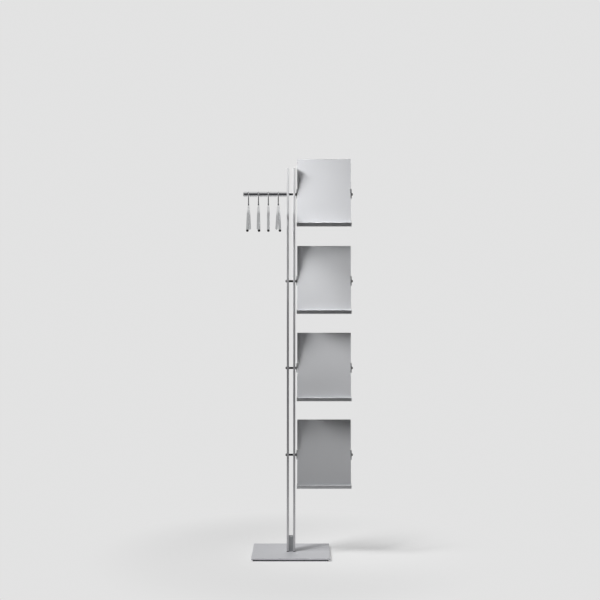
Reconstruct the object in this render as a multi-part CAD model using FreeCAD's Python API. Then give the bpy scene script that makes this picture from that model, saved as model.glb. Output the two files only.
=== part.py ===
# Free-standing coat stand with a grooved coat rail on one side and four tilting brochure trays on the other.
# Millimetres. The origin is the centre of the base's footprint on the floor. +X runs to the right, towards the
# trays, +Y to the back and +Z up.
import FreeCAD, Part
import math
import os

os.makedirs("parts", exist_ok=True)

# Base
base_width = 363.0
base_depth = 287.0
base_thickness = 8.0
base_corner_radius = 4.0
base_edge_radius = 2.0
underlay_thickness = 7.0
underlay_inset = 8.0
underlay_corner_radius = 3.0

# Uprights and foot block
upright_thickness = 10.0
upright_depth = 40.0
upright_gap = 20.0
upright_length = 1797.0
upright_chamfer = 0.8
end_pad_thickness = 3.0
foot_block_height = 70.5
foot_block_recess = 7.0
foot_block_chamfer = 1.0

# Screws of the foot
block_screw_diameter = 6.0
block_screw_reach = 8.0
block_screw_heights = (22.0, 60.0)
base_block_screw_diameter = 8.0
base_upright_screw_diameter = 6.0
base_upright_screw_offset = 11.0
base_screw_reach = 14.0
screw_head_ratio = 2.0
hex_socket_ratio = 0.66
hex_socket_depth_ratio = 0.4

# Pivot rods and what sits on them
tray_count = 4
top_rod_drop = 123.0
tray_pitch = 408.5
rod_diameter = 8.0
fit_clearance = 0.05
running_gap = 0.2
gap_sleeve_diameter = 10.0
cap_nut_diameter = 12.0
cap_nut_length = 6.0
cap_nut_crown = 1.5
collar_nut_across_flats = 11.0
collar_nut_thickness = 3.8
distance_tube_diameter = 12.0
end_screw_head_diameter = 11.0
end_screw_head_length = 4.0
end_screw_diameter = 5.0
end_screw_reach = 14.0
small_chamfer = 0.6

# Brochure trays
tray_width = 252.0
tray_above_rod = 165.0
tray_below_rod = 156.0
tray_tilt = 6.0
sheet_thickness = 2.0
bend_radius = 1.5
tray_corner_radius = 3.0
plate_stand_off = 16.0
gutter_floor = 10.0
lip_length = 17.0
lip_lean = 30.0
cheek_thickness = 2.0
cheek_rise = 5.0
ear_height = 48.0
ear_flare = 4.0
ear_tongue_front = 8.0
ear_end_radius = 10.0
ear_relief = 1.5
ear_root = 6.0
bush_diameter = 11.0
bush_flange_diameter = 16.0
bush_flange_thickness = 1.0

# Coat rail
rail_diameter = 25.0
rail_length = 203.0
rail_chamfer = 1.5
rail_socket_depth = 28.0
groove_radius = 5.0
groove_rim_radius = 0.6
first_groove_from_end = 23.0
groove_pitch = 46.5
hanger_turns = (1.5, 3.2, 2.0, 3.6)
plug_diameter = 17.0
plug_thickness = 2.0
plug_spigot_diameter = 10.0
plug_spigot_length = 14.0

# Hangers
wire_diameter = 5.0
hook_clearance = 0.5
hook_tip_angle = -15.0
hook_tip_round = 1.2
hanger_lean = 4.7
bow_drop = 57.0
bow_diameter = 12.0
bow_wall = 1.5
bow_half_span = 210.0
bow_arc_radius = 90.0
bow_slope = 30.0
ferrule_diameter = 9.0
ferrule_height = 8.0
cap_thickness = 2.5
cap_round = 1.0
cap_spigot_length = 8.0

Vector = FreeCAD.Vector
ORIGIN = Vector(0, 0, 0)
X = Vector(1, 0, 0)
Y = Vector(0, 1, 0)
Z = Vector(0, 0, 1)

base_top = underlay_thickness + base_thickness
upright_foot = base_top + end_pad_thickness
upright_inner = upright_gap / 2
upright_outer = upright_inner + upright_thickness
upright_top = upright_foot + upright_length
rod_radius = rod_diameter / 2
rod_heights = [upright_top - top_rod_drop - tray_pitch * step for step in range(tray_count)]

# Places along a rod, from the right upright outwards
left_tongue_face = upright_outer + collar_nut_thickness + running_gap + bush_flange_thickness
tray_left = left_tongue_face + ear_flare
tray_right = tray_left + tray_width
right_tongue_face = tray_right + ear_flare
rod_right_end = right_tongue_face + bush_flange_thickness + running_gap

# Places along the rail
rail_left_end = -upright_outer - rail_length
groove_places = [rail_left_end + first_groove_from_end + groove_pitch * step for step in range(len(hanger_turns))]
hook_radius = rail_diameter / 2 - groove_radius + hook_clearance + wire_diameter / 2

pieces = {}


def keep(name, *solids):
    """Stores a node: one solid, or a group of like solids."""
    pieces[name] = solids[0] if len(solids) == 1 else Part.makeCompound(list(solids))


def block(x_range, y_range, z_range):
    """A rectangular solid between two corners."""
    low = Vector(x_range[0], y_range[0], z_range[0])
    return Part.makeBox(x_range[1] - x_range[0], y_range[1] - y_range[0], z_range[1] - z_range[0], low)


def prism(points, travel):
    """A closed polygon of 3-D points pushed along a vector."""
    return Part.Face(Part.makePolygon(points + points[:1])).extrude(travel)


def turned(profile, place=ORIGIN, direction=X):
    """A solid of revolution. The profile lists (distance along the axis, radius)."""
    points = [Vector(along, 0, radius) for along, radius in profile]
    face = Part.Face(Part.makePolygon(points + points[:1]))
    solid = face.revolve(ORIGIN, X, 360)
    solid.Placement = FreeCAD.Placement(place, FreeCAD.Rotation(X, direction))
    return solid


def shaft(start, end, radius, height):
    """A round bar along X at the depth of the rods."""
    return Part.makeCylinder(radius, end - start, Vector(start, 0, height), X)


def hexagon(across_flats, length, place, direction):
    """A hexagonal prism from a place along a direction."""
    corner = across_flats / math.sqrt(3)
    points = [Vector(0, corner * math.cos(math.pi / 3 * k), corner * math.sin(math.pi / 3 * k)) for k in range(6)]
    solid = prism(points, Vector(length, 0, 0))
    solid.Placement = FreeCAD.Placement(place, FreeCAD.Rotation(X, direction))
    return solid


def edges_on(shape, axis, point):
    """The straight edges of a shape that lie on one line."""
    found = []
    for edge in shape.Edges:
        if isinstance(edge.Curve, Part.Line) and edge.Curve.Direction.cross(axis).Length < 1e-6:
            if (edge.Vertexes[0].Point - point).cross(axis).Length < 1e-4:
                found.append(edge)
    return found


def edges_parallel(shape, axis):
    """All straight edges of a shape along an axis."""
    return [edge for edge in shape.Edges
            if isinstance(edge.Curve, Part.Line) and edge.Curve.Direction.cross(axis).Length < 1e-6]


def edges_at_height(shape, height):
    """The edges that lie in one horizontal plane."""
    return [edge for edge in shape.Edges
            if all(abs(vertex.Z - height) < 1e-6 for vertex in edge.Vertexes)
            and abs(edge.CenterOfMass.z - height) < 1e-6]


def countersunk(diameter, length, place, direction, clearance=0.0):
    """A countersunk screw that enters at a place. With a clearance it is the hole for that screw."""
    radius = diameter / 2
    head = radius * screw_head_ratio
    depth = head - radius
    profile = [(0, 0), (0, head + clearance), (depth, radius + clearance),
               (length + clearance, radius + clearance), (length + clearance, 0)]
    solid = turned(profile, place, direction)
    if clearance:
        return solid
    return solid.cut(hexagon(diameter * hex_socket_ratio, diameter * hex_socket_depth_ratio, place, direction))


def sheet_outline(path, thickness):
    """The closed outline of a folded sheet. The path is one face, and the metal lies to its right."""
    def normal(a, b):
        length = math.hypot(b[0] - a[0], b[1] - a[1])
        return ((b[1] - a[1]) / length, -(b[0] - a[0]) / length)

    normals = [normal(a, b) for a, b in zip(path, path[1:])]
    offset = []
    for index, (first, second) in enumerate(path):
        before = normals[max(index - 1, 0)]
        after = normals[min(index, len(normals) - 1)]
        share = thickness / (1 + before[0] * after[0] + before[1] * after[1])
        offset.append((first + share * (before[0] + after[0]), second + share * (before[1] + after[1])))
    return offset


def folded_sheet(path, to_space, travel):
    """A folded sheet pushed along a vector, with each bend rounded on its hollow and on its full side."""
    offset = sheet_outline(path, sheet_thickness)
    solid = prism([to_space(*point) for point in path + offset[::-1]], travel)
    axis = Vector(travel).normalize()
    for last, here, following, across in zip(path, path[1:], path[2:], offset[1:]):
        turn = (here[0] - last[0]) * (following[1] - here[1]) - (here[1] - last[1]) * (following[0] - here[0])
        hollow, full = (here, across) if turn > 0 else (across, here)
        solid = solid.makeFillet(bend_radius, edges_on(solid, axis, to_space(*hollow)))
        solid = solid.makeFillet(bend_radius + sheet_thickness, edges_on(solid, axis, to_space(*full)))
    return solid


def pipe(edges, radius):
    """A round solid along a path of lines and tangent arcs."""
    path = Part.Wire(edges)
    start = edges[0].valueAt(edges[0].FirstParameter)
    circle = Part.Circle(start, edges[0].tangentAt(edges[0].FirstParameter), radius)
    return path.makePipeShell([Part.Wire([circle.toShape()])], True, False)


# Base: a black underlay that stands on the floor, and the coated plate on it
def base_underlay():
    half_width = base_width / 2 - underlay_inset
    half_depth = base_depth / 2 - underlay_inset
    solid = block((-half_width, half_width), (-half_depth, half_depth), (0, underlay_thickness))
    return solid.makeFillet(underlay_corner_radius, edges_parallel(solid, Z))


def base_plate():
    solid = block((-base_width / 2, base_width / 2), (-base_depth / 2, base_depth / 2), (underlay_thickness, base_top))
    solid = solid.makeFillet(base_corner_radius, edges_parallel(solid, Z))
    solid = solid.makeFillet(base_edge_radius, edges_at_height(solid, base_top))
    return solid.cut(base_screw_holes())


def base_screws(clearance=0.0):
    """Screws up through the base plate: one into the foot block, two into the foot of each upright."""
    upright_middle = upright_inner + upright_thickness / 2
    screws = [countersunk(base_block_screw_diameter, base_thickness + base_screw_reach,
                          Vector(0, 0, underlay_thickness), Z, clearance)]
    for side in (-1, 1):
        for depth in (-base_upright_screw_offset, base_upright_screw_offset):
            place = Vector(side * upright_middle, depth, underlay_thickness)
            length = base_thickness + end_pad_thickness + base_screw_reach
            screws.append(countersunk(base_upright_screw_diameter, length, place, Z, clearance))
    return screws


def base_screw_holes():
    return Part.makeCompound(base_screws(fit_clearance))


keep("base_underlay", base_underlay())
keep("base_plate", base_plate())
keep("base_screws", *base_screws())


# Column: two flat bars on thin end pads, held apart by the foot block
def block_screws(clearance=0.0):
    """Screws through the outer faces of the uprights into the foot block."""
    screws = []
    for side in (-1, 1):
        for height in block_screw_heights:
            place = Vector(side * upright_outer, 0, base_top + height)
            length = upright_thickness + block_screw_reach
            screws.append(countersunk(block_screw_diameter, length, place, X * -side, clearance))
    return screws


def block_screw_holes():
    return Part.makeCompound(block_screws(fit_clearance))


def foot_block():
    half_depth = upright_depth / 2 - foot_block_recess
    top = base_top + foot_block_height
    solid = block((-upright_inner, upright_inner), (-half_depth, half_depth), (base_top, top))
    solid = solid.makeChamfer(foot_block_chamfer, edges_at_height(solid, top))
    return solid.cut(base_screw_holes()).cut(block_screw_holes())


def upright(side):
    """A flat bar with a hole for each rod. side is -1 for the left bar and 1 for the right one."""
    faces = sorted((side * upright_inner, side * upright_outer))
    solid = block(faces, (-upright_depth / 2, upright_depth / 2), (upright_foot, upright_top))
    solid = solid.makeChamfer(upright_chamfer, edges_parallel(solid, Z) + edges_at_height(solid, upright_top))
    for height in rod_heights:
        solid = solid.cut(shaft(-upright_outer, upright_outer, rod_radius + fit_clearance, height))
    return solid.cut(base_screw_holes()).cut(block_screw_holes())


def end_pad(side):
    faces = sorted((side * upright_inner, side * upright_outer))
    solid = block(faces, (-upright_depth / 2, upright_depth / 2), (base_top, upright_foot))
    return solid.cut(base_screw_holes())


keep("foot_block", foot_block())
keep("left_upright", upright(-1))
keep("right_upright", upright(1))
keep("upright_end_pads", end_pad(-1), end_pad(1))
keep("block_screws", *block_screws())


# Rods: each one crosses both uprights and carries a tray on the right. The top one also carries the coat rail.
def end_screw_shank(clearance=0.0):
    """The part of an end screw inside the rod, as (distance outwards from the rod's end, radius)."""
    radius = end_screw_diameter / 2 + clearance
    reach = end_screw_reach + clearance
    return [(-reach, 0), (-reach, radius), (0, radius)]


def end_screw(height):
    """The screw in a rod's right end, which holds the tray on."""
    head = end_screw_head_diameter / 2
    crown = [(0, head), (end_screw_head_length - small_chamfer, head),
             (end_screw_head_length, head - small_chamfer), (end_screw_head_length, 0)]
    place = Vector(rod_right_end, 0, height)
    outer_face = place + X * end_screw_head_length
    socket = hexagon(end_screw_diameter * hex_socket_ratio, end_screw_head_length / 2, outer_face, X * -1)
    return turned(end_screw_shank() + crown, place).cut(socket)


def pivot_rod(height, left_end):
    hole = turned(end_screw_shank(fit_clearance) + [(0, 0)], Vector(rod_right_end, 0, height))
    return shaft(left_end, rod_right_end, rod_radius, height).cut(hole)


def gap_sleeve(height):
    sleeve = shaft(-upright_inner, upright_inner, gap_sleeve_diameter / 2, height)
    return sleeve.cut(shaft(-upright_inner, upright_inner, rod_radius + fit_clearance, height))


def cap_nut(height):
    """A blind nut on the left face of the left upright, with a crowned outer face."""
    radius = cap_nut_diameter / 2
    profile = [(0, 0), (0, radius), (cap_nut_length - cap_nut_crown, radius),
               (cap_nut_length, radius - cap_nut_crown), (cap_nut_length, 0)]
    bore = shaft(cap_nut_rod_end, -upright_outer, rod_radius + fit_clearance, height)
    return turned(profile, Vector(-upright_outer, 0, height), X * -1).cut(bore)


def collar_nut(height):
    nut = hexagon(collar_nut_across_flats, collar_nut_thickness, Vector(upright_outer, 0, height), X)
    return nut.cut(shaft(upright_outer, tray_left, rod_radius + fit_clearance, height))


def distance_tube(height):
    """The tube that keeps the two ears of a tray apart."""
    start = left_tongue_face + sheet_thickness + running_gap
    end = right_tongue_face - sheet_thickness - running_gap
    tube = shaft(start, end, distance_tube_diameter / 2, height)
    return tube.cut(shaft(start, end, rod_radius + fit_clearance, height))


cap_nut_rod_end = -upright_outer - cap_nut_length + cap_nut_crown
rail_rod_end = -upright_outer - rail_socket_depth
for number, height in enumerate(rod_heights, 1):
    keep(f"pivot_rod_{number}", pivot_rod(height, rail_rod_end if number == 1 else cap_nut_rod_end))
keep("gap_sleeves", *[gap_sleeve(height) for height in rod_heights])
keep("left_cap_nuts", *[cap_nut(height) for height in rod_heights[1:]])
keep("collar_nuts", *[collar_nut(height) for height in rod_heights])
keep("distance_tubes", *[distance_tube(height) for height in rod_heights])
keep("end_screws", *[end_screw(height) for height in rod_heights])


# Coat rail: a turned bar with a half-round groove for each hanger, screwed on the top rod
def coat_rail():
    radius = rail_diameter / 2
    height = rod_heights[0]
    profile = [(rail_left_end, 0), (rail_left_end, radius - rail_chamfer), (rail_left_end + rail_chamfer, radius),
               (-upright_outer, radius), (-upright_outer, 0)]
    rail = turned(profile, Vector(0, 0, height))
    for place in groove_places:
        rail = rail.cut(Part.makeTorus(radius, groove_radius, Vector(place, 0, height), X))
    rim_places = [place + side * groove_radius for place in groove_places for side in (-1, 1)]
    rims = [edge for edge in rail.Edges if isinstance(edge.Curve, Part.Circle)
            and any(abs(edge.Curve.Center.x - place) < 1e-4 for place in rim_places)]
    rail = rail.makeFillet(groove_rim_radius, rims)
    rail = rail.cut(shaft(rail_rod_end, -upright_outer, rod_radius + fit_clearance, height))
    spigot_end = rail_left_end + plug_spigot_length
    return rail.cut(shaft(rail_left_end, spigot_end, plug_spigot_diameter / 2 + fit_clearance, height))


def rail_end_plug():
    disc = plug_diameter / 2
    spigot = plug_spigot_diameter / 2
    profile = [(-plug_spigot_length, 0), (-plug_spigot_length, spigot), (0, spigot), (0, disc),
               (plug_thickness - small_chamfer, disc), (plug_thickness, disc - small_chamfer), (plug_thickness, 0)]
    return turned(profile, Vector(rail_left_end, 0, rod_heights[0]), X * -1)


keep("coat_rail", coat_rail())
keep("rail_end_plug", rail_end_plug())


# Brochure trays, drawn upright with the rod at the origin: a sheet folded into a gutter along its foot, with a
# flared ear on each side whose tongue stands square to the rod
def tray_section():
    """The front face of the tray in side view, as (distance in front of the rod, height)."""
    lean = math.radians(lip_lean)
    floor_top = -tray_below_rod + sheet_thickness
    fold = plate_stand_off + gutter_floor
    return [(plate_stand_off, tray_above_rod), (plate_stand_off, floor_top), (fold, floor_top),
            (fold + lip_length * math.sin(lean), floor_top + lip_length * math.cos(lean))]


def tray_sheet():
    solid = folded_sheet(tray_section(), lambda front, up: Vector(tray_left, -front, up), X * tray_width)
    corners = [edge for side in (tray_left, tray_right)
               for edge in edges_on(solid, Y, Vector(side, 0, tray_above_rod))]
    return solid.makeFillet(tray_corner_radius, corners)


def ear():
    """The right ear, from the plate's edge at x = 0: a web that flares outwards and back, then a tongue."""
    tail = ear_end_radius + sheet_thickness
    path = [(-ear_root, plate_stand_off), (0, plate_stand_off), (ear_flare, ear_tongue_front), (ear_flare, -tail)]
    half = ear_height / 2
    strip = folded_sheet(path, lambda out, front: Vector(out, -front, -half), Z * ear_height)
    return strip.common(ear_outline())


def ear_outline():
    """The ear seen from the side: square at the bend, then tapering to a round end about the rod."""
    half = ear_height / 2
    taper_start = plate_stand_off - sheet_thickness - bend_radius
    angle = math.atan2(half, taper_start) + math.acos(ear_end_radius / math.hypot(half, taper_start))
    touch = (ear_end_radius * math.cos(angle), ear_end_radius * math.sin(angle))
    beyond_front = plate_stand_off + sheet_thickness
    corners = [(touch[0], touch[1]), (taper_start, half), (beyond_front, half),
               (beyond_front, -half), (taper_start, -half), (touch[0], -touch[1])]
    points = [Vector(-ear_root, -front, up) for front, up in corners]
    edges = [Part.makeLine(a, b) for a, b in zip(points, points[1:])]
    edges.append(Part.Arc(points[-1], Vector(-ear_root, ear_end_radius, 0), points[0]).toShape())
    return Part.Face(Part.Wire(edges)).extrude(X * (ear_root + ear_flare + sheet_thickness))


def tray_panel():
    panel = tray_sheet()
    relieved = ear_height / 2 + ear_relief
    beyond_front = plate_stand_off + sheet_thickness
    right_ear = ear()
    left_ear = right_ear.mirror(ORIGIN, X)
    for edge, inside, piece in ((tray_right, tray_right - ear_root, right_ear),
                                (tray_left, tray_left + ear_root, left_ear)):
        panel = panel.cut(block(sorted((edge, inside)), (-beyond_front, 0), (-relieved, relieved)))
        piece.translate(X * edge)
        panel = panel.fuse(piece)
    hole = bush_diameter / 2 + fit_clearance
    return panel.removeSplitter().cut(shaft(left_tongue_face, right_tongue_face, hole, 0))


def cheek(start):
    """A plate that closes one end of the gutter, rounded to the same bends."""
    section = tray_section()
    outside = sheet_outline(section, sheet_thickness)
    top = section[3][1] + cheek_rise
    outline = [(plate_stand_off, top), (plate_stand_off - sheet_thickness, top)] + outside[1:] + section[3:]
    solid = prism([Vector(start, -front, up) for front, up in outline], X * cheek_thickness)
    for front, up in outside[1:3]:
        corner = edges_on(solid, X, Vector(start, -front, up))
        solid = solid.makeFillet(bend_radius + sheet_thickness, corner)
    return solid


def bush(side):
    """A flanged nylon bush in one ear. side is -1 for the left ear and 1 for the right one."""
    outer_face = right_tongue_face if side > 0 else left_tongue_face
    sleeve = bush_diameter / 2
    flange = bush_flange_diameter / 2
    bore = rod_radius + fit_clearance
    profile = [(-sheet_thickness, bore), (-sheet_thickness, sleeve), (0, sleeve), (0, flange),
               (bush_flange_thickness, flange), (bush_flange_thickness, bore)]
    return turned(profile, Vector(outer_face, 0, 0), X * side)


def tilted(solid, height):
    """A tray piece leaned back about its rod and lifted to the rod's height."""
    piece = solid.copy()
    piece.rotate(ORIGIN, X, -tray_tilt)
    piece.translate(Z * height)
    return piece


panel = tray_panel()
cheeks = [cheek(tray_left - cheek_thickness), cheek(tray_right)]
bushes = [bush(-1), bush(1)]
for number, height in enumerate(rod_heights, 1):
    keep(f"tray_{number}_panel", tilted(panel, height))
    keep(f"tray_{number}_cheeks", *[tilted(piece, height) for piece in cheeks])
    keep(f"tray_{number}_bushes", *[tilted(piece, height) for piece in bushes])


# Hangers, drawn with the hook's shank upright through the origin and the rail's axis behind it at the same height:
# a wire hook that lies in its groove and a bent tube
def arc(centre, radius, start, end):
    """An arc in the plane across the rail. Angles are in degrees from the back, upwards over the top."""
    angles = [math.radians(start + (end - start) * share) for share in (0.0, 0.5, 1.0)]
    points = [centre + Vector(0, radius * math.cos(a), radius * math.sin(a)) for a in angles]
    return Part.Arc(*points).toShape()


def hanger_hook():
    """A wire from its tip behind the rail, over the top and straight down in front."""
    loop = arc(Y * hook_radius, hook_radius, hook_tip_angle, 180)
    shank = Part.makeLine(ORIGIN, Vector(0, 0, -bow_drop))
    wire = pipe([loop, shank], wire_diameter / 2)
    tip = loop.valueAt(loop.FirstParameter)
    tip_edges = [edge for edge in wire.Edges if (edge.CenterOfMass - tip).Length < wire_diameter / 4]
    return wire.makeFillet(hook_tip_round, tip_edges)


def bow_end(side):
    """The middle of the tube's end. side is -1 for the front end and 1 for the back one."""
    slope = math.radians(bow_slope)
    shoulder_reach = bow_arc_radius * math.sin(slope)
    shoulder_drop = bow_arc_radius * (1 - math.cos(slope))
    drop = bow_drop + shoulder_drop + (bow_half_span - shoulder_reach) * math.tan(slope)
    return Vector(0, side * bow_half_span, -drop)


def bow_path():
    """The tube's middle line: a straight arm, a round shoulder under the hook, a straight arm."""
    centre = Vector(0, 0, -bow_drop - bow_arc_radius)
    shoulder = arc(centre, bow_arc_radius, 90 + bow_slope, 90 - bow_slope)
    front, back = (shoulder.valueAt(t) for t in (shoulder.FirstParameter, shoulder.LastParameter))
    return [Part.makeLine(bow_end(-1), front), shoulder, Part.makeLine(back, bow_end(1))]


def hanger_bow():
    tube = pipe(bow_path(), bow_diameter / 2).cut(pipe(bow_path(), bow_diameter / 2 - bow_wall))
    hole = Part.makeCylinder(wire_diameter / 2 + fit_clearance, bow_diameter, Vector(0, 0, -bow_drop), Z)
    return tube.cut(hole)


def hanger_ferrule():
    """A collar on the hook's shank, saddled to the tube."""
    foot = bow_diameter / 2 - bow_wall - bow_drop
    top = bow_diameter / 2 + ferrule_height - bow_drop
    radius = ferrule_diameter / 2
    bore = wire_diameter / 2 + fit_clearance
    profile = [(foot, bore), (foot, radius), (top - small_chamfer, radius), (top, radius - small_chamfer), (top, bore)]
    return turned(profile, ORIGIN, Z).cut(pipe(bow_path(), bow_diameter / 2 + fit_clearance))


def hanger_cap(side):
    """A cap in one end of the tube, with a spigot inside it."""
    slope = math.radians(bow_slope)
    outer = bow_diameter / 2
    spigot = outer - bow_wall - fit_clearance
    profile = [(-cap_spigot_length, 0), (-cap_spigot_length, spigot), (0, spigot), (0, outer),
               (cap_thickness - cap_round, outer), (cap_thickness, outer - cap_round), (cap_thickness, 0)]
    return turned(profile, bow_end(side), Vector(0, side * math.cos(slope), -math.sin(slope)))


def hung(solid, place, turn):
    """A hanger piece hung in its groove. Its weight lies in front of the rail, so it leans until that is below."""
    piece = solid.copy()
    piece.translate(Y * -hook_radius)
    piece.rotate(ORIGIN, X, hanger_lean)
    piece.rotate(ORIGIN, Z, turn)
    piece.translate(Vector(place, 0, rod_heights[0]))
    return piece


hook = hanger_hook()
ferrule = hanger_ferrule()
bow = hanger_bow()
caps = [hanger_cap(-1), hanger_cap(1)]
for number, (place, turn) in enumerate(zip(groove_places, hanger_turns), 1):
    keep(f"hanger_{number}_hook", hung(hook, place, turn))
    keep(f"hanger_{number}_ferrule", hung(ferrule, place, turn))
    keep(f"hanger_{number}_bow", hung(bow, place, turn))
    keep(f"hanger_{number}_caps", *[hung(piece, place, turn) for piece in caps])

for name, shape in pieces.items():
    shape.exportStep(f"parts/{name}.step")
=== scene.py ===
import bpy
import math
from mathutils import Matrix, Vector


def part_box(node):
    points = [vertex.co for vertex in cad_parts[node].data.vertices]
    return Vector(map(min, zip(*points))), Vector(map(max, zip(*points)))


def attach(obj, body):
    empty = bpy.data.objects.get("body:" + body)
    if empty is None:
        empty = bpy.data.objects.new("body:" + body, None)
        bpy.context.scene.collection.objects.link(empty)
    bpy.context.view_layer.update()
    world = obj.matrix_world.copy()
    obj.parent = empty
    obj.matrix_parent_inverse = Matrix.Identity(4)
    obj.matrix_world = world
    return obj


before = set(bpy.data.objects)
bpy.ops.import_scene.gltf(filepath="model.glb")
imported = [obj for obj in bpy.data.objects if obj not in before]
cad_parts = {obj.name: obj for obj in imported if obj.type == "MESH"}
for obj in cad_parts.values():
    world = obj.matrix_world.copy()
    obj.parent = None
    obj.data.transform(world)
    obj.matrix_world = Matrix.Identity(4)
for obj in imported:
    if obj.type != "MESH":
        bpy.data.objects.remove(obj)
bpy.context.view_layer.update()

# Underlay: a black rubber sheet, a little smaller than the base plate and glued under it.
# It is cut from a moulded mat, so it has a fine pebbled skin and hardly any shine.
underlay_black = (0.010, 0.010, 0.011, 1)
underlay_worn = (0.022, 0.021, 0.021, 1)
noise_low = 0.3
noise_high = 0.7


def new_finish(name, metallic=0.0, **sockets):
    """A finish for one kind of surface, with what is the same all over it set on the shader itself."""
    finish = bpy.data.materials.new(name)
    finish.use_nodes = True
    shader = finish.node_tree.nodes["Principled BSDF"]
    shader.inputs["Metallic"].default_value = metallic
    for socket, value in sockets.items():
        shader.inputs[socket.replace("_", " ")].default_value = value
    return finish


def grain(finish, per_metre, detail=3.0):
    """Noise in the finish, with so many features to the metre along X, Y and Z."""
    tree = finish.node_tree
    place = tree.nodes.new("ShaderNodeTexCoord")
    scale = tree.nodes.new("ShaderNodeMapping")
    scale.inputs["Scale"].default_value = per_metre
    noise = tree.nodes.new("ShaderNodeTexNoise")
    noise.inputs["Scale"].default_value = 1.0
    noise.inputs["Detail"].default_value = detail
    tree.links.new(place.outputs["Object"], scale.inputs["Vector"])
    tree.links.new(scale.outputs["Vector"], noise.inputs["Vector"])
    return noise.outputs["Fac"]


def tint(finish, pattern, dark, light, low=noise_low, high=noise_high):
    """Colours the finish from dark to light along a pattern."""
    tree = finish.node_tree
    ramp = tree.nodes.new("ShaderNodeValToRGB")
    ramp.color_ramp.elements[0].position = low
    ramp.color_ramp.elements[0].color = dark
    ramp.color_ramp.elements[1].position = high
    ramp.color_ramp.elements[1].color = light
    tree.links.new(pattern, ramp.inputs["Fac"])
    tree.links.new(ramp.outputs["Color"], tree.nodes["Principled BSDF"].inputs["Base Color"])


def graded(tree, value, start, end, low, high, course="LINEAR"):
    """Turns a value that runs from start to end into one that runs from low to high."""
    grade = tree.nodes.new("ShaderNodeMapRange")
    grade.interpolation_type = course
    grade.inputs["From Min"].default_value = start
    grade.inputs["From Max"].default_value = end
    grade.inputs["To Min"].default_value = low
    grade.inputs["To Max"].default_value = high
    tree.links.new(value, grade.inputs["Value"])
    return grade.outputs["Result"]


def dull(finish, pattern, rough_from, rough_to):
    """Varies the roughness of the finish along a pattern."""
    tree = finish.node_tree
    roughness = graded(tree, pattern, noise_low, noise_high, rough_from, rough_to)
    tree.links.new(roughness, tree.nodes["Principled BSDF"].inputs["Roughness"])


def relief(finish, pattern, strength, height):
    """Raises the pattern from the surface, by a height in metres."""
    tree = finish.node_tree
    bump = tree.nodes.new("ShaderNodeBump")
    bump.inputs["Strength"].default_value = strength
    bump.inputs["Distance"].default_value = height
    tree.links.new(pattern, bump.inputs["Height"])
    tree.links.new(bump.outputs["Normal"], tree.nodes["Principled BSDF"].inputs["Normal"])


def dress(finish, *nodes):
    """Gives a finish to pieces of the frame."""
    for node in nodes:
        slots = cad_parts[node].data.materials
        slots.clear()
        slots.append(finish)


rubber = new_finish("pebbled_rubber", Specular_IOR_Level=0.1)
pebbles = grain(rubber, per_metre=(900, 900, 900), detail=2.0)
tint(rubber, grain(rubber, per_metre=(25, 25, 60)), underlay_black, underlay_worn)
dull(rubber, pebbles, rough_from=0.62, rough_to=0.82)
relief(rubber, pebbles, strength=0.35, height=0.0003)
dress(rubber, "base_underlay")

# Base plate: cut steel with rounded corners, powder coated in silver grey.
# The coat is a fine metallic one with a slight orange peel; this copy of it is painted a shade darker than
# the trays' as painted shade.
base_flake_dark_with_painted_shade = (0.505, 0.508, 0.530, 1)
base_flake_light_with_painted_shade = (0.565, 0.568, 0.590, 1)


def powder_coat(name, shade, light, metallic, shine):
    """A fine metallic powder coat, baked on: small flakes, a slight orange peel and an even satin gloss."""
    coat = new_finish(name, metallic=metallic, Specular_IOR_Level=shine)
    flakes = grain(coat, per_metre=(2600, 2600, 2600), detail=1.0)
    orange_peel = grain(coat, per_metre=(420, 420, 420), detail=1.5)
    tint(coat, flakes, shade, light)
    dull(coat, grain(coat, per_metre=(9, 9, 9)), rough_from=0.46, rough_to=0.54)
    relief(coat, orange_peel, strength=0.12, height=0.0002)
    return coat


# This copy of the coat is painted darker than the trays' copy, as painted shade on the base.
base_coat_with_painted_shade = powder_coat("base_silver_coat_with_painted_shade", base_flake_dark_with_painted_shade, base_flake_light_with_painted_shade, metallic=0.2, shine=0.4)
dress(base_coat_with_painted_shade, "base_plate")

# Base screws: countersunk screws of zinc-plated steel, driven up through the base plate from below.
# The plating has gone a little cloudy, and the underlay covers the heads.
zinc_shade = (0.42, 0.43, 0.45, 1)
zinc_light = (0.60, 0.61, 0.62, 1)
zinc_plate = new_finish("zinc_plated_steel", metallic=1.0)
clouds = grain(zinc_plate, per_metre=(400, 400, 400))
tint(zinc_plate, clouds, zinc_shade, zinc_light)
dull(zinc_plate, clouds, rough_from=0.28, rough_to=0.46)
dress(zinc_plate, "base_screws")

# Uprights: two flat bars of stainless steel that stand on edge with a gap between them.
# They are ground along their length, so the grain runs up the bar and draws the light out across it.
ground_shade = (0.60, 0.60, 0.61, 1)
ground_light = (0.70, 0.70, 0.71, 1)
ground_steel = new_finish("long_ground_steel", metallic=1.0, Anisotropic=0.6)
long_lines = grain(ground_steel, per_metre=(2200, 2200, 9), detail=4.0)
tint(ground_steel, long_lines, ground_shade, ground_light)
dull(ground_steel, grain(ground_steel, per_metre=(700, 700, 5)), rough_from=0.52, rough_to=0.62)
relief(ground_steel, long_lines, strength=0.10, height=0.0001)
dress(ground_steel, "left_upright", "right_upright")

# End pads: thin black plates moulded in nylon, between the uprights and the base plate.
# They keep the ground ends of the bars off the coat, and show as a dark line at the foot.
nylon_black = (0.012, 0.012, 0.013, 1)
nylon_grey = (0.024, 0.024, 0.025, 1)
black_nylon = new_finish("moulded_black_nylon")
mould_grain = grain(black_nylon, per_metre=(1600, 1600, 1600), detail=2.0)
tint(black_nylon, grain(black_nylon, per_metre=(120, 120, 120)), nylon_black, nylon_grey)
dull(black_nylon, mould_grain, rough_from=0.38, rough_to=0.55)
relief(black_nylon, mould_grain, strength=0.20, height=0.0001)
dress(black_nylon, "upright_end_pads")

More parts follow.
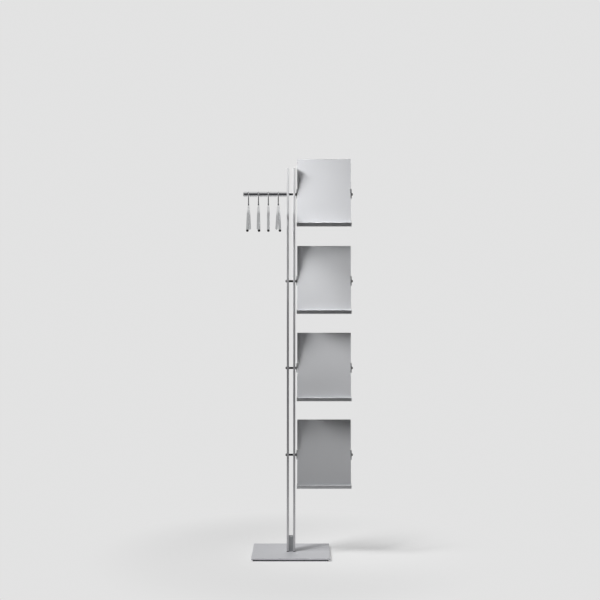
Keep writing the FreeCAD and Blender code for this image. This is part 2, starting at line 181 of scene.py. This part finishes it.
# Foot block: a machined steel block that keeps the uprights apart and ties them to the base plate.
# It is milled, so its faces carry short level tool marks, and it is duller than the bars beside it.
mill_shade = (0.34, 0.35, 0.36, 1)
mill_light = (0.46, 0.47, 0.48, 1)
milled_steel = new_finish("milled_steel", metallic=0.6, Specular_IOR_Level=0.3)
tool_marks = grain(milled_steel, per_metre=(90, 90, 1400), detail=2.0)
tint(milled_steel, tool_marks, mill_shade, mill_light)
dull(milled_steel, grain(milled_steel, per_metre=(60, 60, 500)), rough_from=0.50, rough_to=0.62)
relief(milled_steel, tool_marks, strength=0.10, height=0.0001)
dress(milled_steel, "foot_block")

# Rods and distance tubes: drawn steel, turned to length and polished with fine emery on the lathe.
# The emery leaves faint rings, close together along each piece. Each tray has one rod and one tube.
trays = (1, 2, 3, 4)
ring_shade = (0.50, 0.50, 0.51, 1)
ring_light = (0.66, 0.66, 0.67, 1)
turned_steel = new_finish("turned_steel", metallic=1.0)
rings = grain(turned_steel, per_metre=(2800, 30, 30))
tint(turned_steel, rings, ring_shade, ring_light)
dull(turned_steel, grain(turned_steel, per_metre=(500, 20, 20)), rough_from=0.24, rough_to=0.36)
relief(turned_steel, rings, strength=0.12, height=0.0001)
dress(turned_steel, "distance_tubes", *[f"pivot_rod_{number}" for number in trays])

# Nuts and screws on the rods and the foot block: blackened steel, oiled. The sleeves in the gap get the
# same black as painted shade between the uprights. The soft black is rubbed thinner here and there, and the
# rubbed places shine a little more.
oiled_black_and_painted_gap_shade = (0.022, 0.022, 0.024, 1)
oiled_grey_and_painted_gap_shade = (0.060, 0.060, 0.064, 1)
blackened_steel_and_painted_gap_shade = new_finish("blackened_steel_and_painted_gap_shade", metallic=0.8)
rubbed = grain(blackened_steel_and_painted_gap_shade, per_metre=(350, 350, 350), detail=4.0)
tint(blackened_steel_and_painted_gap_shade, rubbed, oiled_black_and_painted_gap_shade, oiled_grey_and_painted_gap_shade)
dull(blackened_steel_and_painted_gap_shade, rubbed, rough_from=0.46, rough_to=0.30)
relief(blackened_steel_and_painted_gap_shade, grain(blackened_steel_and_painted_gap_shade, per_metre=(1500, 1500, 1500)), strength=0.08, height=0.0001)
# The sleeves in the gap carry this black as painted shade between the uprights.
dress(blackened_steel_and_painted_gap_shade, "gap_sleeves", "left_cap_nuts", "collar_nuts", "end_screws", "block_screws")

# Coat rail: a bar of steel turned with four grooves, polished and screwed on the top rod. The polish is
# bright, with the last traces of the lathe in fine rings. A black nylon plug closes the free end.
polish_shade = (0.66, 0.66, 0.67, 1)
polish_light = (0.76, 0.76, 0.77, 1)
polished_steel = new_finish("polished_steel", metallic=1.0)
lathe_rings = grain(polished_steel, per_metre=(3600, 12, 12), detail=2.0)
tint(polished_steel, lathe_rings, polish_shade, polish_light)
dull(polished_steel, grain(polished_steel, per_metre=(260, 8, 8)), rough_from=0.10, rough_to=0.18)
relief(polished_steel, lathe_rings, strength=0.06, height=0.0001)
dress(polished_steel, "coat_rail")
dress(black_nylon, "rail_end_plug")

# Trays: steel sheet folded into a gutter along the foot, with a plate welded across each end of the gutter.
# Each is powder coated in silver over metal and welds alike, and turns on two flanged nylon bushes.
tray_shade = (0.605, 0.612, 0.630, 1)
tray_light = (0.675, 0.682, 0.700, 1)
silver_coat = powder_coat("tray_silver_coat", tray_shade, tray_light, metallic=0.12, shine=0.35)
for number in trays:
    dress(silver_coat, f"tray_{number}_panel", f"tray_{number}_cheeks")
    dress(black_nylon, f"tray_{number}_bushes")

# Welds: a thin bead of weld metal inside each end of a gutter, where the end plate meets the folded sheet.
# It is laid by hand in small drops down the back, along the floor and up the lip, and coated with the tray.
weld_radius = 0.0012
drop_swell = 0.0004
drop_spacing = 0.0018
tray_tilt = math.radians(6)
top_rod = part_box("pivot_rod_1")
next_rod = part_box("pivot_rod_2")
top_rod_height = (top_rod[0][2] + top_rod[1][2]) / 2
tray_pitch = top_rod[1][2] - next_rod[1][2]
end_plate_thickness = 0.002
end_plates_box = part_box("tray_1_cheeks")
gutter_left = end_plates_box[0][0] + end_plate_thickness
gutter_right = end_plates_box[1][0] - end_plate_thickness
gutter_corners = [(0.016, -0.1343), (0.016, -0.154), (0.026, -0.154), (0.0345, -0.1393)]


def on_tray(x, forward, up):
    """A point of the top tray, from its distance in front of the rod and above it, square to the plate."""
    return Vector((x, up * math.sin(tray_tilt) - forward * math.cos(tray_tilt),
                   top_rod_height + up * math.cos(tray_tilt) + forward * math.sin(tray_tilt)))


corners = [on_tray(gutter_left, *corner) for corner in gutter_corners]
bpy.ops.object.select_all(action="DESELECT")
bpy.ops.mesh.primitive_plane_add(size=weld_radius, location=corners[0])
bead = bpy.context.object
bpy.ops.object.transform_apply(location=True)
bpy.ops.object.mode_set(mode="EDIT")
bpy.ops.mesh.select_all(action="SELECT")
bpy.ops.mesh.merge(type="CENTER")
for start, end in zip(corners, corners[1:]):
    drops = round((end - start).length / drop_spacing)
    for drop in range(drops):
        bpy.ops.mesh.extrude_region_move(TRANSFORM_OT_translate={"value": (end - start) / drops})
bpy.ops.object.mode_set(mode="OBJECT")
bead.modifiers.new("weld_metal", "SKIN")
for drop, point in enumerate(bead.data.skin_vertices[0].data):
    size = weld_radius + drop_swell * (drop % 2)
    point.radius = (size, size)
rounding = bead.modifiers.new("molten_round", "SUBSURF")
rounding.levels = 1
rounding.render_levels = 1
bpy.ops.object.modifier_apply(modifier="weld_metal")
bpy.ops.object.modifier_apply(modifier="molten_round")
bpy.ops.object.shade_smooth()
bead.data.materials.append(silver_coat)
for number in trays:
    for side, shift in (("left", 0.0), ("right", gutter_right - gutter_left)):
        weld = bead.copy()
        weld.data = bead.data.copy()
        weld.name = f"tray_{number}_{side}_weld"
        bpy.context.scene.collection.objects.link(weld)
        bpy.ops.object.select_all(action="DESELECT")
        weld.select_set(True)
        bpy.context.view_layer.objects.active = weld
        bpy.ops.transform.translate(value=(shift, 0, -tray_pitch * (number - 1)))
        bpy.ops.object.transform_apply(location=True)
        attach(weld, f"tray_{number}")
bpy.data.objects.remove(bead)

# Hangers: aluminium tube bent into a bow, blasted with fine beads and anodised grey, with black end caps.
# The crown of the bow is left polished and painted lighter, a painted highlight; the ferrule on it is
# bright.
# The hook in the ferrule is bright drawn steel wire, worn smooth where it lies on the front of the rail,
# and painted dark grey above and below that as painted shade.
hangers = (1, 2, 3, 4)
hanger_pieces = ("hook", "ferrule", "bow", "caps")
anodised_dull = (0.60, 0.61, 0.615, 1)
anodised_painted_highlight = (0.94, 0.95, 0.95, 1)
bow_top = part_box("hanger_1_bow")[1][2]
crown_starts = bow_top - 0.046
crown_fully_painted_and_polished = bow_top - 0.020
turned_shade = (0.84, 0.85, 0.85, 1)
turned_light = (0.92, 0.93, 0.93, 1)
# The dull grey of the wire is painted shade; the bright grey is the wire's own colour.
wire_painted_shade = (0.30, 0.30, 0.31, 1)
wire_bright = (0.90, 0.90, 0.91, 1)
rail_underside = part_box("coat_rail")[0][2]
rail_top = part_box("coat_rail")[1][2]
band_below = (rail_underside - 0.004, rail_underside + 0.002)
band_above = (rail_top - 0.004, rail_top - 0.008)
growth_low = 0.1
growth_high = 1.0


def between(finish, start, end, most=1.0):
    """Grows from nothing at one height to the most at another."""
    tree = finish.node_tree
    place = tree.nodes.new("ShaderNodeTexCoord")
    along = tree.nodes.new("ShaderNodeSeparateXYZ")
    tree.links.new(place.outputs["Object"], along.inputs["Vector"])
    return graded(tree, along.outputs["Z"], start, end, 0.0, most)


def on_top(finish, pattern, share, growth):
    """A share of a pattern, on top of what grows with the height."""
    tree = finish.node_tree
    total = tree.nodes.new("ShaderNodeMath")
    total.operation = "MULTIPLY_ADD"
    total.inputs[1].default_value = share
    tree.links.new(pattern, total.inputs[0])
    tree.links.new(growth, total.inputs[2])
    return total.outputs["Value"]


def joined(tree, operation, first, second):
    """One value from two, such as their product or the larger of them."""
    join = tree.nodes.new("ShaderNodeMath")
    join.operation = operation
    tree.links.new(first, join.inputs[0])
    tree.links.new(second, join.inputs[1])
    return join.outputs["Value"]


anodised = new_finish("blasted_anodised_aluminium", metallic=1.0)
blast = grain(anodised, per_metre=(2400, 2400, 2400), detail=2.0)
# The bow is painted lighter towards its crown, a painted highlight; the smoother polish there is real.
crown = between(anodised, crown_starts, crown_fully_painted_and_polished)
blast_and_painted_highlight = on_top(anodised, blast, share=0.25, growth=crown)
tint(anodised, blast_and_painted_highlight, anodised_dull, anodised_painted_highlight, low=growth_low, high=growth_high)
polish = between(anodised, crown_starts, crown_fully_painted_and_polished, most=0.5)
cloudy_polish = on_top(anodised, grain(anodised, per_metre=(40, 40, 40)), share=0.6, growth=polish)
dull(anodised, cloudy_polish, rough_from=0.62, rough_to=0.30)
relief(anodised, blast, strength=0.10, height=0.0001)

bright_turned = new_finish("bright_turned_aluminium", metallic=1.0)
fine_rings = grain(bright_turned, per_metre=(40, 40, 3200), detail=2.0)
tint(bright_turned, fine_rings, turned_shade, turned_light)
dull(bright_turned, grain(bright_turned, per_metre=(60, 60, 400)), rough_from=0.06, rough_to=0.12)

drawn_wire = new_finish("drawn_steel_wire", metallic=1.0)
draw_lines = grain(drawn_wire, per_metre=(1800, 1800, 60), detail=2.0)
# The band in front of the rail keeps the wire's own bright grey and is worn smooth; above and below it the
# wire is painted dark grey as painted shade.
from_below = between(drawn_wire, *band_below)
from_above = between(drawn_wire, *band_above)
worn_band_out_of_painted_shade = joined(drawn_wire.node_tree, "MULTIPLY", from_below, from_above)
draw_lines_and_painted_shade = on_top(drawn_wire, draw_lines, share=0.3, growth=worn_band_out_of_painted_shade)
tint(drawn_wire, draw_lines_and_painted_shade, wire_painted_shade, wire_bright, low=growth_low, high=growth_high)
worn_smooth = on_top(drawn_wire, grain(drawn_wire, per_metre=(30, 30, 30)), share=0.6, growth=worn_band_out_of_painted_shade)
dull(drawn_wire, worn_smooth, rough_from=0.28, rough_to=0.04)
relief(drawn_wire, draw_lines, strength=0.06, height=0.0001)

hanger_finishes = (drawn_wire, bright_turned, anodised, black_nylon)
for number in hangers:
    for piece, finish in zip(hanger_pieces, hanger_finishes):
        dress(finish, f"hanger_{number}_{piece}")

# Floor: a wide pale studio floor that takes the stand's shadow.
# Further out it turns into the plain tone of the background, and the light that it sends back fades away.
floor_radius = 60
background = (0.765, 0.765, 0.765, 1)
pale_paint = (0.90, 0.90, 0.90, 1)
dim_paint = (0.10, 0.10, 0.10, 1)
front_dark = (0.07, 0.07, 0.075, 1)
fade_starts = 0.2
fade_ends = 1.0
least_background = 0.45
front_starts = -0.6
floor_is_dark = -1.6


def shown_to_eye_and_steel(tree):
    """1 for a ray from the camera and for one that metal sends back, 0 for light that fills the room."""
    path = tree.nodes.new("ShaderNodeLightPath")
    shown = path.outputs["Is Camera Ray"]
    for ray in ("Is Glossy Ray", "Is Transmission Ray"):
        shown = joined(tree, "MAXIMUM", shown, path.outputs[ray])
    return shown


def in_front(tree, forward, start, end):
    """The share of the dark front of the room in what metal shows. It rises from start to end."""
    path = tree.nodes.new("ShaderNodeLightPath")
    rise = graded(tree, forward, start, end, 0.0, 1.0, course="SMOOTHSTEP")
    return joined(tree, "MULTIPLY", rise, path.outputs["Is Glossy Ray"])


def mixed(tree, share, first, second):
    """A colour that goes from the first to the second with a share."""
    mix = tree.nodes.new("ShaderNodeMix")
    mix.data_type = "RGBA"
    mix.inputs["A"].default_value = first
    mix.inputs["B"].default_value = second
    tree.links.new(share, mix.inputs["Factor"])
    return mix.outputs[2]


def surfaced(tree, output, share, first, second):
    """Ends a material or the world in two shaders, with a share of the second."""
    blend = tree.nodes.new("ShaderNodeMixShader")
    tree.links.new(share, blend.inputs["Fac"])
    tree.links.new(first, blend.inputs[1])
    tree.links.new(second, blend.inputs[2])
    tree.links.new(blend.outputs["Shader"], tree.nodes[output].inputs["Surface"])


bpy.ops.object.select_all(action="DESELECT")
bpy.ops.mesh.primitive_circle_add(vertices=96, radius=floor_radius, fill_type="NGON", location=(0, 0, 0))
floor = bpy.context.object
floor.name = "studio_floor"
floor_paint = new_finish("floor_paint", Roughness=0.85, Specular_IOR_Level=0.1)
tree = floor_paint.node_tree
near_floor = tree.nodes["Principled BSDF"]
far_floor = tree.nodes.new("ShaderNodeEmission")
place = tree.nodes.new("ShaderNodeTexCoord")
reach = tree.nodes.new("ShaderNodeVectorMath")
reach.operation = "LENGTH"
sides = tree.nodes.new("ShaderNodeSeparateXYZ")
tree.links.new(place.outputs["Object"], reach.inputs[0])
tree.links.new(place.outputs["Object"], sides.inputs["Vector"])
fade = graded(tree, reach.outputs["Value"], fade_starts, fade_ends, 0.0, 1.0, course="SMOOTHSTEP")
shown = shown_to_eye_and_steel(tree)
unseen = graded(tree, shown, 0.0, 1.0, 1.0, 0.0)
dimmed = joined(tree, "MULTIPLY", fade, unseen)
tree.links.new(mixed(tree, dimmed, pale_paint, dim_paint), near_floor.inputs["Base Color"])
dark_share = in_front(tree, sides.outputs["Y"], front_starts, floor_is_dark)
tree.links.new(mixed(tree, dark_share, background, front_dark), far_floor.inputs["Color"])
seen_far = joined(tree, "MULTIPLY", shown, graded(tree, fade, 0.0, 1.0, least_background, 1.0))
surfaced(tree, "Material Output", seen_far, near_floor.outputs["BSDF"], far_floor.outputs["Emission"])
floor.data.materials.append(floor_paint)

# Room: the background is a plain pale tone, and the steel shows it too, with the dark room in front of it.
# The light that fills the room is dimmer and comes mostly from above and from behind.
level_light = 0.08
overhead_light = 0.22
front_share = 0.6
back_share = 1.2
fill_front = -0.5
fill_back = 0.5
room_is_dark = -0.78
world = bpy.data.worlds.new("studio")
bpy.context.scene.world = world
world.use_nodes = True
tree = world.node_tree
backdrop = tree.nodes["Background"]
backdrop.inputs["Strength"].default_value = 1.0
room = tree.nodes.new("ShaderNodeBackground")
room.inputs["Color"].default_value = (1, 1, 1, 1)
direction = tree.nodes.new("ShaderNodeTexCoord")
sides = tree.nodes.new("ShaderNodeSeparateXYZ")
tree.links.new(direction.outputs["Generated"], sides.inputs["Vector"])
upward = graded(tree, sides.outputs["Z"], 0.0, 1.0, level_light, overhead_light)
backward = graded(tree, sides.outputs["Y"], fill_front, fill_back, front_share, back_share)
tree.links.new(joined(tree, "MULTIPLY", upward, backward), room.inputs["Strength"])
dark_share = in_front(tree, sides.outputs["Y"], front_starts, room_is_dark)
tree.links.new(mixed(tree, dark_share, background, front_dark), backdrop.inputs["Color"])
surfaced(tree, "World Output", shown_to_eye_and_steel(tree), room.outputs["Background"],
         backdrop.outputs["Background"])

# Lamps: four soft boxes with grids, to the left and in front. The side box throws the uprights' shadows on
# the trays, and the high box shades each tray under the one above. Flags keep both off what would burn out.
# The base box lights the base and the floor alone, and the post box the left upright alone.
foot = (0.0, 0.0, 0.0)
upper_trays = (0.1, 0.0, 1.54)
post_top = (0.0, 0.0, 1.66)


def soft_box(name, place, aim, width, height, watts, spread):
    """A lamp in a rectangular box, turned to its aim. A grid narrows it to a spread in degrees."""
    lamp = bpy.data.lights.new(name, "AREA")
    lamp.shape = "RECTANGLE"
    lamp.size = width
    lamp.size_y = height
    lamp.energy = watts
    lamp.spread = math.radians(spread)
    holder = bpy.data.objects.new(name, lamp)
    bpy.context.scene.collection.objects.link(holder)
    holder.location = place
    holder.rotation_euler = (Vector(aim) - Vector(place)).to_track_quat("-Z", "Y").to_euler()
    return holder


def choose(box, state, pieces):
    """Lets a lamp reach these pieces alone (INCLUDE), or all but these (EXCLUDE)."""
    chosen = bpy.data.collections.new(f"{box.name}_{state.lower()}s")
    for piece in pieces:
        chosen.objects.link(piece)
    box.light_linking.receiver_collection = chosen
    for member in chosen.collection_objects:
        member.light_linking.link_state = state


side_box = soft_box("side_soft_box", place=(-2.13, -0.57, 2.9), aim=upper_trays,
                    width=0.7, height=0.9, watts=16.3, spread=43)
high_box = soft_box("high_soft_box", place=(-1.05, -0.82, 4.3), aim=foot,
                    width=0.8, height=0.8, watts=4.2, spread=38)
base_box = soft_box("base_soft_box", place=(-1.88, -1.47, 3.82), aim=foot,
                    width=0.9, height=0.9, watts=6.5, spread=38)
post_box = soft_box("post_soft_box", place=(-1.6, -1.6, 2.75), aim=post_top,
                    width=0.6, height=0.6, watts=4.0, spread=40)
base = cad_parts["base_plate"]
left_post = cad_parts["left_upright"]
end_plates = [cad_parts[f"tray_{number}_cheeks"] for number in trays]
bright_pieces = [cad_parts["coat_rail"]]
for number in hangers:
    bright_pieces += [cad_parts[f"hanger_{number}_{piece}"] for piece in hanger_pieces]
choose(side_box, "EXCLUDE", bright_pieces + end_plates + [left_post])
choose(high_box, "EXCLUDE", bright_pieces + [base, floor])
choose(base_box, "INCLUDE", [base, floor])
choose(post_box, "INCLUDE", [left_post])

# Camera: level, five metres in front of the stand and a little to its right, as the photograph was taken.
# The focal length and the middle of the view are in pixels of a picture that is 600 pixels wide.
picture_width = 600
focal_pixels = 1062.3
centre_column = 304.8
centre_row = 290.4
sensor_width = 36
eye = (0.0646, -5.0, 1.240)
camera = bpy.data.cameras.new("camera")
camera.sensor_width = sensor_width
camera.lens = focal_pixels / picture_width * sensor_width
camera.shift_x = (picture_width / 2 - centre_column) / picture_width
camera.shift_y = (centre_row - picture_width / 2) / picture_width
viewer = bpy.data.objects.new("camera", camera)
bpy.context.scene.collection.objects.link(viewer)
viewer.location = eye
viewer.rotation_euler = (math.radians(90), 0, 0)
bpy.context.scene.camera = viewer
bpy.context.scene.view_settings.view_transform = "Standard"
